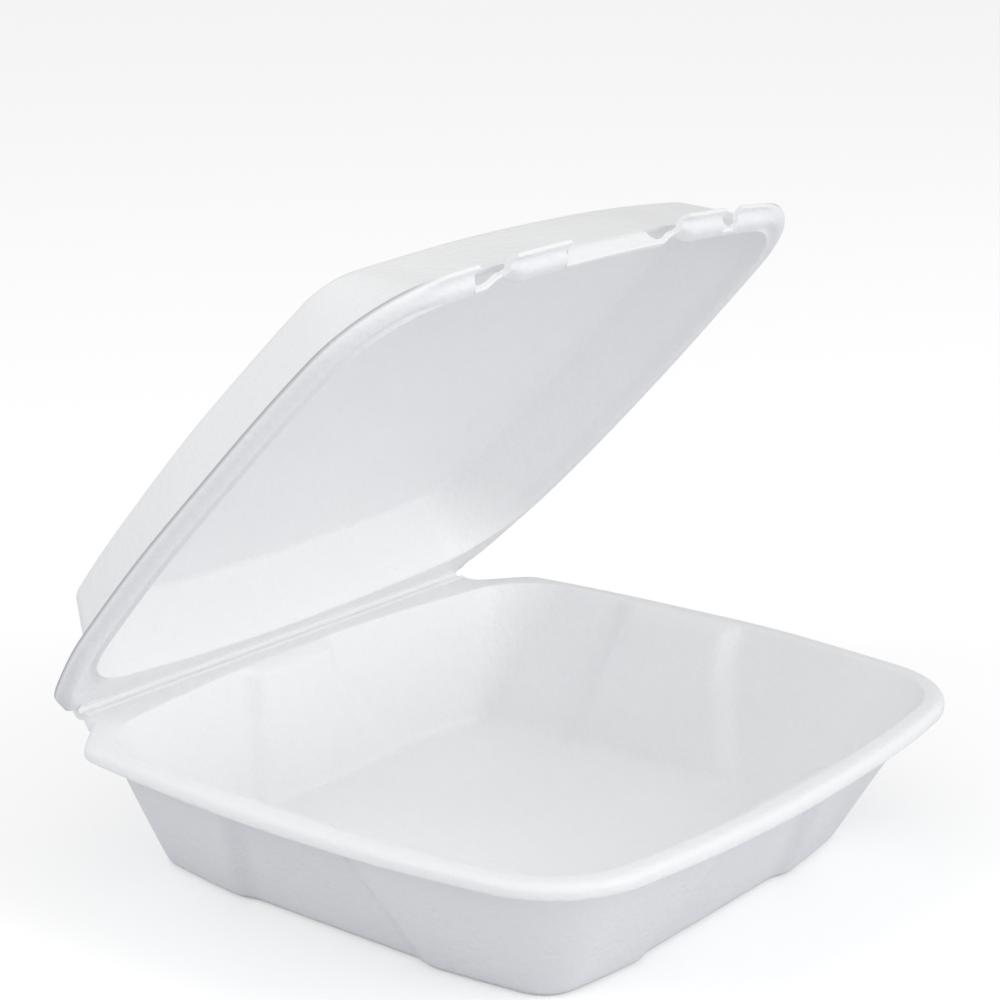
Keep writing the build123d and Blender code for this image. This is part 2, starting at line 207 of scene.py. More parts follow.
class Columns:
    """Places around the shell: the four bowed sides in turn, each with the corner that follows it.

    The front side has fixed places in its middle, so that cuts fall on them, and stretches at its two
    ends. The other sides are parted evenly.
    """

    def __init__(self, breaks, step, tail=6, turns=26):
        spans = [np.linspace(a, b, max(int(round((b - a) / step)), 1), endpoint=False)
                 for a, b in zip(breaks, breaks[1:])]
        self.places = np.concatenate([*spans, breaks[-1:]])
        self.tail, self.turns = tail, turns
        self.side_count = len(self.places) + 2 * tail
        self.count = 4 * (self.side_count + turns)
        # Kind of each column: the number of its side, or that number and 4 in the corner that follows
        kinds = [np.full(n, k) for k in range(4) for n, k in ((self.side_count, k), (turns, k + 4))]
        self.kind = np.concatenate(kinds)

    def outlines(self, half, front, back, bow, corner, press=0.0, narrow=0.0, depth=0.0, rear=1.0):
        """Closed outlines, one row for each level, and their outward directions.

        At t along a side its point stands at reach - bow + sqrt(bow^2 - t^2) from the middle. In the
        sunken panel it eases to reach - depth over PANEL_RUN beyond the panel's end, which moves from its
        place at the foot to that at the ledge as narrow grows from 0 to 1. A corner is an arc about the
        point that lies bow - corner from the middles of both its bows. The two at the back have rear times
        that radius.
        """
        sizes = np.atleast_1d(half, front, back, bow, corner, press, narrow, depth, rear)
        half, front, back, bow, corner, press, narrow, depth, rear = np.broadcast_arrays(*sizes)
        reach = np.stack([half, back, half, front], 1)
        centres = SIDES * (reach - bow[:, None])[..., None]
        apart = np.roll(centres, -1, 1) - centres
        span = np.linalg.norm(apart, axis=2, keepdims=True)
        square = np.stack([apart[..., 1], -apart[..., 0]], 2) / span
        square *= np.sign((square * (SIDES + np.roll(SIDES, -1, 0))).sum(2, keepdims=True))
        corner = np.stack([corner * rear, corner * rear, corner, corner], 1)[..., None]
        short = bow[:, None, None] - corner
        middle = centres + apart / 2 + square * np.sqrt(short ** 2 - (span / 2) ** 2)
        leave = (middle - centres) / short
        arrive = (middle - np.roll(centres, -1, 1)) / short
        points, ways = [], []
        ends = np.linspace(0, 1, self.tail + 1)
        even = np.linspace(0, 1, self.side_count)
        turning = np.linspace(0, 1, self.turns + 2)[1:-1]
        for k, side in enumerate(SIDES):
            along = np.array([-side[1], side[0]])
            first = (arrive[:, k - 1] @ along * bow)[:, None]
            last = (leave[:, k] @ along * bow)[:, None]
            t = first + (last - first) * even
            if k == FRONT:
                t = np.concatenate([
                    first + (self.places[0] - first) * ends[:-1],
                    np.broadcast_to(self.places, (len(half), len(self.places))),
                    self.places[-1] + (last - self.places[-1]) * ends[1:]], 1)
            u = (reach[:, k] - bow)[:, None] + np.sqrt(bow[:, None] ** 2 - t ** 2)
            flats = [foot + (ledge - foot) * narrow[:, None] for foot, ledge in PANELS[k]]
            within = press[:, None] * (1 - ease((np.abs(t) - np.where(t < 0, *flats)) / PANEL_RUN))
            u_pressed = u - within * (u - reach[:, k, None] + depth[:, None])
            points.append(u_pressed[..., None] * side + t[..., None] * along)
            out = (u - (reach[:, k] - bow)[:, None])[..., None] * side + t[..., None] * along
            ways.append(out / bow[:, None, None])
            start = np.arctan2(leave[:, k, 1], leave[:, k, 0])
            end = np.arctan2(arrive[:, k, 1], arrive[:, k, 0])
            angle = start[:, None] + ((end - start) % (2 * np.pi))[:, None] * turning
            way = np.stack([np.cos(angle), np.sin(angle)], 2)
            points.append(middle[:, k, None] + corner[:, k, None] * way)
            ways.append(way)
        return np.concatenate(points, 1), np.concatenate(ways, 1)

    def front(self, x):
        """Column of the front side that stands at x."""
        first = FRONT * (self.side_count + self.turns) + self.tail
        return first + int(np.argmin(np.abs(self.places - x)))


def grown(size, share):
    """Size that has its first value at the foot and gains its second in proportion to the share."""
    return size[0] + size[1] * share


def tray_sizes(z, inside=0.0):
    """Half width, front, back, bow and corner of the tray's wall at the height z, drawn in by inside."""
    side, back, bow, corner = (
        grown(size, z / WALL_TOP) - inside for size in (TRAY_SIDE, TRAY_BACK, TRAY_BOW, TRAY_CORNER))
    return side, side, back, bow, corner


def tray_outlines(columns, z, inside=0.0, ledge=LEDGE_Z):
    """Outlines of the tray's wall at the heights z, drawn in by inside, with its panels up to the ledge."""
    z = np.atleast_1d(z)
    share = np.clip(z / LEDGE_Z, 0, 1)
    press = 1 - ease((z - ledge) / LEDGE_RISE)
    return columns.outlines(*tray_sizes(z, inside), press, share, grown(PANEL_DEPTH, share),
                            grown(REAR_SHARE, z / WALL_TOP))[0]


def lid_outlines(columns, z, inside=0.0):
    """Outlines of the lid's wall at the heights z of the closed pose, drawn in by inside."""
    z = np.atleast_1d(z)
    low = np.minimum((z - FLANGE_TOP) / (SHOULDER_Z - FLANGE_TOP), 1)
    high = np.maximum((z - SHOULDER_Z) / (ROOF_Z - SHOULDER_Z), 0)
    inward = SHOULDER_IN * low + inside
    return columns.outlines(
        LID_SIDE - inward - ROOF_IN_SIDE * high, LID_SIDE - inward - ROOF_IN_FRONT * high,
        LID_BACK - inward - ROOF_IN_BACK * high, LID_BOW - inside - ROOF_IN_BOW * high,
        LID_CORNER - inside - ROOF_IN_CORNER * high)[0]


def wall(levels, outlines, z):
    """Rows of a wall ruled between its outlines, at heights z that may differ from column to column."""
    z = np.broadcast_to(z, (z.shape[0], outlines.shape[1]))
    below = np.clip(np.searchsorted(levels, z, side="right") - 1, 0, len(levels) - 2)
    share = ((z - levels[below]) / (levels[below + 1] - levels[below]))[..., None]
    column = np.arange(outlines.shape[1])
    level = outlines[below, column] * (1 - share) + outlines[below + 1, column] * share
    return np.concatenate([level, z[..., None]], 2)


def raised(outline, z):
    """Outline lifted to the height z."""
    return np.concatenate([outline, np.broadcast_to(np.reshape(z, (-1, 1)), (len(outline), 1))], 1)


def turn(start, corner, end, steps):
    """Rows of a rounding: the quadratic curve from start to end that the corner pulls."""
    t = np.linspace(0, 1, steps + 1)[:, None, None]
    return (1 - t) ** 2 * start + 2 * t * (1 - t) * corner + t * t * end


def disc(outline, shares):
    """Rows of a flat disc: the outline drawn towards its middle."""
    middle = np.array([0.0, 0.0, outline[0, 2]])
    return middle + (outline - middle) * np.asarray(shares)[:, None, None]


def to_circle(start, way, centre, radius):
    """Distance from a start inside a circle, along the way, to the circle."""
    off = start - np.array(centre)
    b = (off * way).sum(1)
    return -b + np.sqrt(np.maximum(b * b - (off * off).sum(1) + radius * radius, 0.0))


def to_line(start, way, first, second):
    """Distance from the start, along the way, to the line through two places; far where they don't meet."""
    out = np.array([second[1] - first[1], first[0] - second[0]])
    rate = way @ out
    distance = (np.array(first) - start) @ out / np.maximum(rate, 1e-6)
    return np.where(rate > 0.05 * np.linalg.norm(out), distance, 1e3)


def flange_reach(columns, start, way, cuts, notched):
    """How far the flange stands out from the wall in each column.

    It ends at the bowed rim, at the cuts across the back corners and at the hinge. A notched corner
    runs on straight to the back where its cut ends.
    """
    mirror = np.stack([np.where(start[:, 0] < 0, -1.0, 1.0), np.ones(len(start))], 1)
    start, way = start * mirror, way * mirror
    inset = RIM_HALF - RIM_BOW
    tight = RIM_BOW - RIM_CORNER
    # The front corners' circle touches both bows: its middle lies as far to the side as to the front
    corner = (inset * 2 + np.sqrt(4 * inset * inset + 8 * (tight * tight - inset * inset))) / 4
    reach = np.minimum(to_circle(start, way, (inset, 0), RIM_BOW),
                       to_circle(start, way, (0, -inset), RIM_BOW))
    round_front = to_circle(start, way, (corner, -corner), RIM_CORNER)
    at_front = (columns.kind == LEFT + 4) | (columns.kind == FRONT + 4)
    reach = np.where(at_front, np.minimum(reach, round_front), reach)
    if notched:
        cut = to_line(start, way, *cuts)
        beside = to_line(start, way, cuts[1], (cuts[1][0], 200.0))
        reach = soft_min(reach, -soft_min(-cut, -beside, 1.5), 3.0)
    else:
        for first, second in zip(cuts, cuts[1:]):
            reach = soft_min(reach, to_line(start, way, first, second), 3.5)
    reach = soft_min(reach, to_line(start, way, (50.0, FLANGE_BACK), (-50.0, FLANGE_BACK)), 1.0)
    return np.maximum(reach, 0.06)


def fade(start, way, reach):
    """Share of the droop or the curl that is left in each column: 1, easing to 0 towards the hinge."""
    return ease((FLANGE_BACK - start[:, 1] - way[:, 1] * reach) / FADE_RUN)


def square_ways(start, way):
    """Ways out of the wall that run straight to the front across its middle."""
    share = ease((80.0 - np.abs(start[:, 0])) / 14.0) * (start[:, 1] < -60)
    way = way * (1 - share[:, None]) + np.array([0.0, -1.0]) * share[:, None]
    return way / np.linalg.norm(way, axis=1, keepdims=True)


def ripple(points, flat_below, height):
    """Slow unevenness of the moulding: crossing sine waves along each axis, as high as the height given.

    They fade out towards flat_below, which is the table for the tray, and near the hinge.
    """
    x, y, z = np.moveaxis(points, -1, 0)
    sway = np.stack([
        np.sin(x / 17 + y / 23 + 1.3) * np.sin(z / 15 + y / 31) + 0.6 * np.sin(y / 9 + z / 13 + 0.4),
        np.sin(y / 19 - x / 25 + 0.7) * np.sin(z / 17 - x / 29) + 0.6 * np.sin(x / 10 - z / 12 + 2.1),
        0.8 * np.sin(x / 14 + 0.5) * np.sin(y / 16 + z / 21 + 1.1)], -1)
    quiet = ease((z - flat_below) / 12.0) * ease((np.hypot(HINGE_Y - y, z - HINGE_Z) - 6.0) / 14.0)
    return points + sway * height * quiet[..., None]


class Shell:
    """A closed sheet of rows and columns between two poles, with cuts through it."""

    def __init__(self, columns):
        self.columns, self.parts, self.spans, self.faces, self.count = columns, [], {}, [], 0
        self.left_out = []
        # Rows that get the painted shade at the cut edge, and how much of it each column gets
        self.cut_edge, self.painted_shade_share = (0, 0), 0.0

    def add(self, name, rows):
        """Adds rows and keeps where they lie under the name."""
        self.spans[name] = (self.count, self.count + len(rows) - 1)
        self.parts.append(rows)
        self.count += len(rows)

    def corner_index(self, row, column):
        """Number of the corner where a row and a column cross."""
        return row * self.columns.count + column % self.columns.count

    def leave_out(self, rows, first, last):
        """Takes the faces between two rows and two columns away."""
        self.left_out.append((rows[0], rows[1], first, last))

    def bridge(self, near, far, first, last):
        """Cuts a hole through both walls from column first to last and lines it."""
        at = self.corner_index
        for rows in (near, far):
            self.leave_out(rows, first, last)
        for c in range(first, last):
            self.faces.append((at(near[0], c + 1), at(near[0], c), at(far[1], c), at(far[1], c + 1)))
            self.faces.append((at(near[1], c), at(near[1], c + 1), at(far[0], c + 1), at(far[0], c)))
        rows = [*range(near[0], near[1] + 1), *range(far[0], far[1] + 1)]
        self.faces.append(tuple(at(r, first) for r in rows))
        self.faces.append(tuple(at(r, last) for r in reversed(rows)))

    def cut_back(self, rows, bare, first, last):
        """Cuts the flange away between two columns, down to the bare rows, and closes its ends."""
        at = self.corner_index
        self.leave_out(rows, first, last)
        chain = [rows[0], *range(bare[0], bare[1] + 1), rows[1]]
        for c in range(first, last):
            for r, s in zip(chain, chain[1:]):
                self.faces.append((at(r, c), at(s, c), at(s, c + 1), at(r, c + 1)))
        ring = [*range(rows[0], rows[1] + 1), *reversed(chain[1:-1])]
        self.faces.append(tuple(at(r, first) for r in ring))
        self.faces.append(tuple(at(r, last) for r in reversed(ring)))

    def mesh(self, name, last_row, points):
        """Mesh of the sheet: faces between neighbouring rows and columns, with a fan at both poles.

        Rows after last_row serve the cuts alone. Corners that no face uses are dropped.
        """
        n = self.columns.count
        keep = np.ones((last_row, n), bool)
        keep[0] = keep[-1] = False
        for first_row, end_row, first, last in self.left_out:
            keep[first_row:end_row, first:last] = False
        row, column = np.nonzero(keep)
        nxt = (column + 1) % n
        quads = np.stack([row * n + column, (row + 1) * n + column, (row + 1) * n + nxt, row * n + nxt], 1)
        around = np.arange(n)
        after = (around + 1) % n
        first_fan = np.stack([np.zeros(n, int), n + around, n + after], 1)
        rim, pole = (last_row - 1) * n, np.full(n, last_row * n)
        last_fan = np.stack([rim + around, pole, rim + after], 1)
        loose = np.concatenate([np.array(face) for face in self.faces])
        used = np.zeros(len(points), bool)
        used[np.concatenate([quads.ravel(), first_fan.ravel(), last_fan.ravel(), loose])] = True
        place = np.cumsum(used) - 1
        faces = [*place[quads].tolist(), *place[first_fan].tolist(), *place[last_fan].tolist(),
                 *(place[list(face)].tolist() for face in self.faces)]
        mesh = bpy.data.meshes.new(name)
        mesh.from_pydata((points[used] * 0.001).tolist(), [], faces)
        mesh.polygons.foreach_set("use_smooth", np.ones(len(mesh.polygons), bool))
        mesh.set_sharp_from_angle(angle=np.radians(42))
        # Painted shade: a mask over the rows at the lid's cut edge, which the material paints dark grey
        mask = np.zeros((len(points) // n, n), np.float32)
        mask[slice(*self.cut_edge)] = self.painted_shade_share
        mesh.attributes.new("cut_edge", "FLOAT", "POINT").data.foreach_set("value", mask.ravel()[used])
        mesh.update()
        return mesh


def tray_points(columns, shell, moulding):
    """Rows of the tray from the middle of its floor, up the inside, over the rim and down the outside.

    Beyond the wall the flange runs out to its reach in each column, less the distance that TRAY_RIM gives.
    """
    levels = np.linspace(0.0, 50.0, 126)
    inner = tray_outlines(columns, levels, LEAN, LEDGE_Z + LEDGE_LIFT)
    outer = tray_outlines(columns, levels)
    x = outer[0, :, 0]
    opening = np.full(columns.count, SLOT_SEAM)
    for first, last in SLOTS:
        c0, c1 = columns.front(first), columns.front(last)
        along = (x[c0:c1 + 1] - first) / (last - first)
        bulge = np.sqrt(np.clip(1 - np.abs(2 * along - 1) ** 6, 0, 1))
        opening[c0:c1 + 1] = SLOT_SEAM + moulding.slot_opening * 1000 * bulge

    def opened(z):
        """Heights parted at the slots: stretched from SLOT_LOW and SLOT_HIGH to the opened seam."""
        z = np.asarray(z, float)[:, None]
        below, above = SLOT_Z - SLOT_LOW, SLOT_Z - SLOT_HIGH
        low = SLOT_LOW + (z - SLOT_LOW) * (below - opening) / (below - SLOT_SEAM)
        high = SLOT_HIGH + (z - SLOT_HIGH) * (above + opening) / (above + SLOT_SEAM)
        z_parted = np.where(z < SLOT_Z, low, high)
        return np.where((z > SLOT_LOW) & (z < SLOT_HIGH), z_parted, z)

    def inside(z, extra=0.0):
        """Row of the wall's inner side at the height z, drawn in by extra."""
        return raised(tray_outlines(columns, z, LEAN + extra, LEDGE_Z + LEDGE_LIFT)[0], z)

    def outside(z, extra=0.0):
        """Row of the wall's outer side at the height z, drawn in by extra."""
        return raised(tray_outlines(columns, z, extra)[0], z)

    floor_in, floor_up = FLOOR_ROUND
    floor = inside(FOAM, floor_in)
    shell.add("floor", disc(floor, np.linspace(0, 1, 15)[:-1]))
    shell.add("floor round", turn(floor, inside(FOAM), inside(FOAM + floor_up), 8))
    shell.add("inner wall", wall(levels, inner, opened(np.concatenate([
        np.linspace(8.0, 38.6, 13), [39.6, 40.4, 41.2, 41.8, SLOT_Z - SLOT_SEAM]]))))
    shell.add("inner top", wall(levels, inner, opened([SLOT_Z + SLOT_SEAM, 43.6, 44.4, 45.4, 46.8])))
    rim_out, rim_down = RIM_ROUND
    top_inner = inside(FLANGE_TOP, -rim_out)
    shell.add("rim round", turn(inside(FLANGE_TOP - rim_down), inside(FLANGE_TOP), top_inner, 5))

    root_z = FLANGE_TOP - ROOT
    start, way = columns.outlines(*tray_sizes(root_z), rear=grown(REAR_SHARE, root_z / WALL_TOP))
    start, way = start[0], square_ways(start[0], way[0])
    reach = flange_reach(columns, start, way, TRAY_CUTS, True)
    droop = fade(start, way, reach)
    squeeze = np.minimum(1.0, (reach + 0.75) / 5.6)
    distance, drop, depth = np.split(TRAY_RIM, 3, axis=1)
    away = np.maximum(reach - distance * squeeze, np.where(depth > 1.45, 0.0, -10.0))
    height = FLANGE_TOP - drop * EDGE_DROP * droop - depth
    level = start + way * away[..., None]
    shell.add("flange", np.concatenate([level, height[..., None]], 2))

    shell.add("outer top", wall(levels, outer, opened([WALL_TOP, 45.4, 44.6, 43.8, SLOT_Z + SLOT_SEAM])))
    shell.add("outer wall", wall(levels, outer, opened(np.concatenate([
        [SLOT_Z - SLOT_SEAM, 42.0, 41.2, 40.4, 39.6, 38.8, 38.0, 37.0], np.linspace(35.0, 4.5, 12)]))))
    foot_in, foot_up = FOOT_ROUND
    foot = outside(0.0, foot_in)
    shell.add("foot round", turn(outside(foot_up), outside(0.0), foot, 6))
    shell.add("underside", disc(foot, np.linspace(1, 0, 11)[1:]))

    inner_rows = (shell.spans["inner wall"][1], shell.spans["inner top"][0])
    outer_rows = (shell.spans["outer top"][1], shell.spans["outer wall"][0])
    for first, last in SLOTS:
        shell.bridge(inner_rows, outer_rows, columns.front(first), columns.front(last))
    return ripple(np.concatenate(shell.parts), 3.0, moulding.unevenness * 1000)


def swung(v, w):
    """Place across the open hinge of what lies v in front of its line and w above it in the closed lid."""
    return (HINGE_Y - v * np.cos(OPEN_ANGLE) + w * np.sin(OPEN_ANGLE),
            HINGE_Z + v * np.sin(OPEN_ANGLE) + w * np.cos(OPEN_ANGLE))


def opened_lid(points):
    """Closed coordinates turned about the hinge into the open pose of the photograph."""
    y, z = swung(HINGE_Y - points[..., 1], points[..., 2] - HINGE_Z)
    return np.stack([points[..., 0], y, z], -1)


def lid_points(columns, shell, moulding):
    """Rows of the lid from the middle of its roof, down the outside, around the lip and up the inside.

    Beyond the wall the lip follows LID_LIP, out to its reach in each column less the distance given there.
    """
    levels = np.array([LID_Z - 2.0, SHOULDER_Z, ROOF_Z + 1.0])
    outer = lid_outlines(columns, levels)
    inner_levels = np.array([48.0, 54.0, ROOF_Z - FOAM])
    inner = lid_outlines(columns, inner_levels, LEAN)
    corner = np.zeros(columns.count)
    cut_front = ease((88 - np.abs(outer[0, :, 0])) / 14) * (outer[0, :, 1] < -60)
    round_top = LID_Z + FRONT_ROUND + SIDE_EXTRA * (1 - cut_front)
    for first, last in HOLES:
        c0, c1 = columns.front(first), columns.front(last)
        x = outer[0, c0:c1 + 1, 0]
        near = np.clip(HOLE_ROUND - np.minimum(x - first, last - x), 0, HOLE_ROUND)
        corner[c0:c1 + 1] = HOLE_ROUND - np.sqrt(HOLE_ROUND ** 2 - near ** 2)

    # Beside each hole the strip under it climbs to the left-hand end of the tab
    front = (columns.kind == FRONT) * 1.0
    x = outer[0, :, 0]
    lift = np.zeros(columns.count)
    for _, end in GAPS[:2]:
        climb = np.where(x < end, ease((x - end + 9.5) / 9.5), ease((end + 7.0 - x) / 7.0))
        lift += STRIP_LIFT * front * climb

    def rounded(low, high, count):
        """Heights from high to low that draw together at the hole's round corners."""
        return np.linspace(high - corner, low + lift + corner, count)

    def outside(z, extra=0.0):
        """Row of the wall's outer side at the height z, drawn in by extra."""
        return raised(lid_outlines(columns, z, extra)[0], z)

    def inside(z, extra=0.0):
        """Row of the wall's inner side at the height z, drawn in by extra."""
        return raised(lid_outlines(columns, z, LEAN + extra)[0], z)

    roof_in, roof_down = ROOF_ROUND
    roof = outside(ROOF_Z, roof_in)
    shell.add("roof", disc(roof, np.linspace(0, 1, 15)[:-1]))
    shell.add("roof round", turn(roof, outside(ROOF_Z), outside(ROOF_Z - roof_down), 7))
    root_z = LID_Z + ROOT
    shell.add("outer wall", wall(levels, outer, np.array([[z] for z in (
        *np.linspace(73.0, 59.0, 8), 57.6)])))
    shell.add("outer hole", wall(levels, outer, rounded(root_z + 0.1, HOLE_HIGH, 5)))
    shell.add("root", wall(levels, outer, root_z + lift[None, :]))

    side, back = LID_SIDE - 0.07, LID_BACK - 0.07
    start, way = columns.outlines(side, side, back, LID_BOW, LID_CORNER)
    start, way = start[0], square_ways(start[0], way[0])
    reach = flange_reach(columns, start, way, LID_CUTS, False)
    curl = fade(start, way, reach)
    squeeze = np.minimum(1.0, (reach + 1.1) / 7.3)
    away, rise, front_away, front_rise, faded = np.split(LID_LIP, 5, axis=1)
    away = away + (front_away - away) * cut_front
    rise = rise + (front_rise - rise) * cut_front
    rise = faded + (rise - faded) * curl
    away = np.maximum(reach - away * squeeze, np.where(np.arange(len(LID_LIP))[:, None] < 1, 0.0, -10.0))
    outward = np.clip(away / reach, 0, 1)
    level = start + way * away[..., None]
    # The cut ends lean: a left-hand end away from its gap towards the lip, a right-hand one hollow
    for gap_start, gap_end in GAPS:
        x = start[:, 0]
        before = front * np.clip(1 - (gap_start - x) / 6, 0, 1) * (x <= gap_start + 0.01)
        after = front * np.clip(1 - (x - gap_end) / 6, 0, 1) * (x >= gap_end - 0.01)
        level[..., 0] += after * 1.8 * outward ** 2 - before * 6.4 * outward * (1 - outward) * 0.9
    rise[-2:] += np.array([[0.12], [0.6]]) * (1 - cut_front) * curl
    height = LID_Z + rise + lift * (1 - outward)
    shell.add("flange", np.concatenate([level, height[..., None]], 2))
    # The lip's cut edge gets painted shade along the sides and none along the cut front
    shell.cut_edge = tuple(shell.spans["flange"][0] + row for row in PAINTED_SHADE_ROWS)
    shell.painted_shade_share = 1 - cut_front
    # A shallow groove follows the wall's foot inside the lip, except along the cut front and at the hinge
    channel = []
    for beside, at_front, rise in GROOVE:
        wide, narrow = inside(LID_Z, beside), inside(LID_Z, at_front)
        row = wide + (narrow - wide) * cut_front[:, None]
        row[:, 2] += rise * (1 - cut_front) * curl
        channel.append(row)
    top = wall(inner_levels, inner, round_top[None, :])[0]
    inner_round = np.concatenate([channel[:-1], turn(channel[-1], inside(LID_Z), top, 8)[:-1]])
    inner_round[..., 2] += lift
    shell.add("inner round", inner_round)
    shell.add("inner hole", wall(inner_levels, inner, rounded(round_top, HOLE_HIGH, 5)[::-1]))
    shell.add("inner wall", wall(inner_levels, inner, np.linspace([58.2], [70.4], 8)))
    ceiling_in, ceiling_down = CEILING_ROUND
    ceiling = inside(ROOF_Z - FOAM, ceiling_in)
    shell.add("ceiling round",
              turn(inside(ROOF_Z - FOAM - ceiling_down), inside(ROOF_Z - FOAM), ceiling, 8))
    shell.add("ceiling", disc(ceiling, np.linspace(1, 0, 15)[1:]))
    last_row = shell.count - 1
    # Rows that the wall's cut foot shows where the flange is cut away
    bare = np.stack([np.concatenate([start + way * e, z + lift[:, None]], 1)
                     for e, z in ((0.05, LID_Z + 0.6), (-0.15, LID_Z + 0.1), (-0.6, LID_Z))])
    shell.add("bare", bare)

    for first, last in HOLES:
        shell.bridge(shell.spans["outer hole"], shell.spans["inner hole"],
                     columns.front(first), columns.front(last))
    for first, last in GAPS:
        shell.cut_back((shell.spans["root"][0], shell.spans["inner round"][0]), shell.spans["bare"],
                       columns.front(first), columns.front(last))
    points = np.concatenate(shell.parts)
    # The free front edge is bent: its corners stand higher than its middle
    v = HINGE_Y - points[..., 1]
    points[..., 2] += (moulding.bend * 1000 * (points[..., 0] / 100) ** 2 - 0.1) * (v / 210) ** 2
    return opened_lid(ripple(points, -100.0, moulding.unevenness * 1000)), last_row


def map_range(tree, value, start, end):
    """Node that maps a value from the start's range to the end's."""
    node = tree.nodes.new("ShaderNodeMapRange")
    for name, number in zip(("From Min", "From Max", "To Min", "To Max"), (*start, *end)):
        node.inputs[name].default_value = number
    tree.links.new(value, node.inputs["Value"])
    return node


def product(tree, first, second):
    """Product of a socket with another socket or with a number."""
    node = tree.nodes.new("ShaderNodeMath")
    node.operation = "MULTIPLY"
    tree.links.new(first, node.inputs[0])
    if isinstance(second, float):
        node.inputs[1].default_value = second
    else:
        tree.links.new(second, node.inputs[1])
    return node.outputs["Value"]


def colour_mix(tree, share, first, second):
    """Colour that goes from the first, a socket or a colour, to the second colour as the share grows."""
    node = tree.nodes.new("ShaderNodeMix")
    node.data_type = "RGBA"
    if isinstance(first, bpy.types.NodeSocket):
        tree.links.new(first, node.inputs["A"])
    else:
        node.inputs["A"].default_value = (*first, 1)
    node.inputs["B"].default_value = (*second, 1)
    tree.links.new(share, node.inputs["Factor"])
    return node.outputs["Result"]


def noise(tree, scale, detail, stretch=(1.0, 1.0, 1.0)):
    """Noise over the object's own coordinates, drawn out along an axis by a smaller stretch."""
    place = tree.nodes.new("ShaderNodeTexCoord")
    mapping = tree.nodes.new("ShaderNodeMapping")
    mapping.inputs["Scale"].default_value = stretch
    texture = tree.nodes.new("ShaderNodeTexNoise")
    texture.inputs["Scale"].default_value = scale
    texture.inputs["Detail"].default_value = detail
    tree.links.new(place.outputs["Object"], mapping.inputs["Vector"])
    tree.links.new(mapping.outputs["Vector"], texture.inputs["Vector"])
    return texture.outputs["Fac"]


def bump(tree, height, strength, distance, below=None):
    """Normal that a height field gives, over the normal below it where there is one."""
    node = tree.nodes.new("ShaderNodeBump")
    node.inputs["Strength"].default_value = strength
    node.inputs["Distance"].default_value = distance
    tree.links.new(height, node.inputs["Height"])
    if below:
        tree.links.new(below, node.inputs["Normal"])
    return node.outputs["Normal"]


def foam_material(settings):
    """White foam, its skin finely pebbled, with painted shade along the lid's cut edge."""
    material = bpy.data.materials.new("foam_skin")
    material.use_nodes = True
    tree = material.node_tree
    links = tree.links
    shader = tree.nodes["Principled BSDF"]
    shader.inputs["Specular IOR Level"].default_value = 0.38

    # Beads of the foam under its skin, and slight draw wrinkles that run up the walls
    pebbles = bump(tree, noise(tree, 520.0, 2.0), 0.5, 0.0006)
    grain = bump(tree, noise(tree, 1500.0, 1.0), 0.3, 0.0002, pebbles)
    wrinkles = bump(tree, noise(tree, 260.0, 2.0, (1.0, 1.0, 0.16)), 0.25, 0.0005, grain)
    links.new(wrinkles, shader.inputs["Normal"])

    # The skin is a little duller and greyer in slow patches
    patches = noise(tree, 34.0, 3.0)
    sway = 0.07
    dull = map_range(tree, patches, (0.3, 0.7), (settings.roughness - sway, settings.roughness + sway))
    links.new(dull.outputs["Result"], shader.inputs["Roughness"])
    tint = colour_mix(tree, patches, settings.colour, [c * 0.975 for c in settings.colour])

    # Painted shade: the lid's cut edge is painted dark grey in place of the shadow between the lip and the
    # wall
    cut = tree.nodes.new("ShaderNodeAttribute")
    cut.attribute_name = "cut_edge"
    painted_shade = colour_mix(tree, cut.outputs["Fac"], tint, settings.painted_shade)
    links.new(painted_shade, shader.inputs["Base Color"])
    return material


def place_piece(context, name, mesh, material):
    """Links a mesh into the scene with its material."""
    piece = bpy.data.objects.new(name, mesh)
    mesh.materials.append(material)
    context.collection.objects.link(piece)
    return piece


def foam(context):
    """The foam's material, made once."""
    return bpy.data.materials.get("foam_skin") or foam_material(context.scene.clamshell_foam)


class CLAMSHELL_OT_tray(bpy.types.Operator):
    """Draws the tray with its sunken panels, rounded floor, drooping flange and slots"""

    bl_idname = "clamshell.tray"
    bl_label = "Tray"

    def execute(self, context):
        columns = Columns(np.array([-60.0, -55.0, -24.0, 24.0, 55.0, 60.0]), 1.6)
        shell = Shell(columns)
        points = tray_points(columns, shell, context.scene.clamshell_moulding)
        mesh = shell.mesh("tray_foam", shell.count - 1, points.reshape(-1, 3))
        piece = place_piece(context, "tray_foam", mesh, foam(context))
        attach(piece, "tray")
        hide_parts("tray")
        return {"FINISHED"}


class CLAMSHELL_OT_lid(bpy.types.Operator):
    """Draws the lid with its shoulder, curled lip, die-cut front and holes"""

    bl_idname = "clamshell.lid"
    bl_label = "Lid"

    def execute(self, context):
        breaks = sorted({-66.0, 66.0, *(x for pair in (*GAPS, *HOLES) for x in pair),
                         *(x + HOLE_ROUND for x, _ in HOLES), *(x - HOLE_ROUND for _, x in HOLES)})
        columns = Columns(np.array(breaks), 1.6)
        shell = Shell(columns)
        points, last_row = lid_points(columns, shell, context.scene.clamshell_moulding)
        mesh = shell.mesh("lid_foam", last_row, points.reshape(-1, 3))
        piece = place_piece(context, "lid_foam", mesh, foam(context))
        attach(piece, "lid")
        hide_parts("lid")
        return {"FINISHED"}


